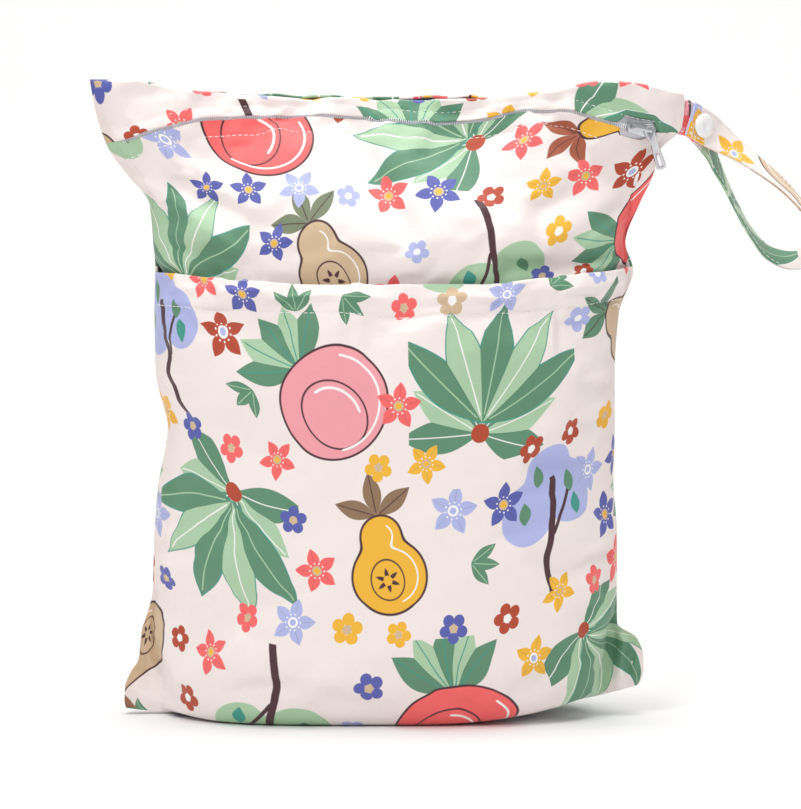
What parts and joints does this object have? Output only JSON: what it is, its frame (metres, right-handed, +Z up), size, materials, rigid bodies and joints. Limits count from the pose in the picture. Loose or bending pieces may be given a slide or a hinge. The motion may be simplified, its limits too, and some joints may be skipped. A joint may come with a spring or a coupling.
{
  "type": "stroller organizer bag",
  "caption": "Soft printed cloth bag with a zipped main room, a flat front pocket and a snap-closed strap loop that hangs it on a handle.",
  "frame": {"origin": "on the floor under the middle of the bag, on the flat of its folded bottom", "axes": "+Z up, -Y towards the front with the pocket, +X towards the side seam with the strap"},
  "size_m": [0.3704, 0.1161, 0.32],
  "materials": {
    "back_cloth": "smooth printed knit, soft sheen",
    "front_cloth": "smooth printed knit, soft sheen",
    "pocket_cloth": "smooth printed knit, soft sheen",
    "strip_cloth": "smooth printed knit, soft sheen",
    "zip_tape": "woven tape",
    "zip_teeth": "satin nylon coil",
    "pocket_zip_tape": "woven tape",
    "slider_metal": "nickel plated",
    "pull_metal": "nickel plated",
    "snap_plastic": "moulded, gloss",
    "snap_back_plastic": "moulded, gloss",
    "strap_cloth": "folded and stitched knit"
  },
  "bodies": {
    "bag": {"back_panel": "back_cloth", "front_panel": "front_cloth", "pocket_panel": "pocket_cloth", "top_strip": "strip_cloth", "top_zip_tape": "zip_tape", "top_zip_teeth": "zip_teeth", "pocket_zip": "pocket_zip_tape", "top_zip_slider": "slider_metal", "snap_cap": "snap_plastic", "snap_back": "snap_back_plastic", "strap": "strap_cloth"},
    "pull": {"top_zip_pull": "pull_metal"}
  },
  "joints": [
    {"name": "zip_pull_swing", "type": "hinge", "parent": "bag", "child": "pull", "pos_m": [0.13159, -0.00495, 0.29458], "axis": [0.3293, -0.9405, -0.0834], "range_deg": [-90, 45]}
  ]
}
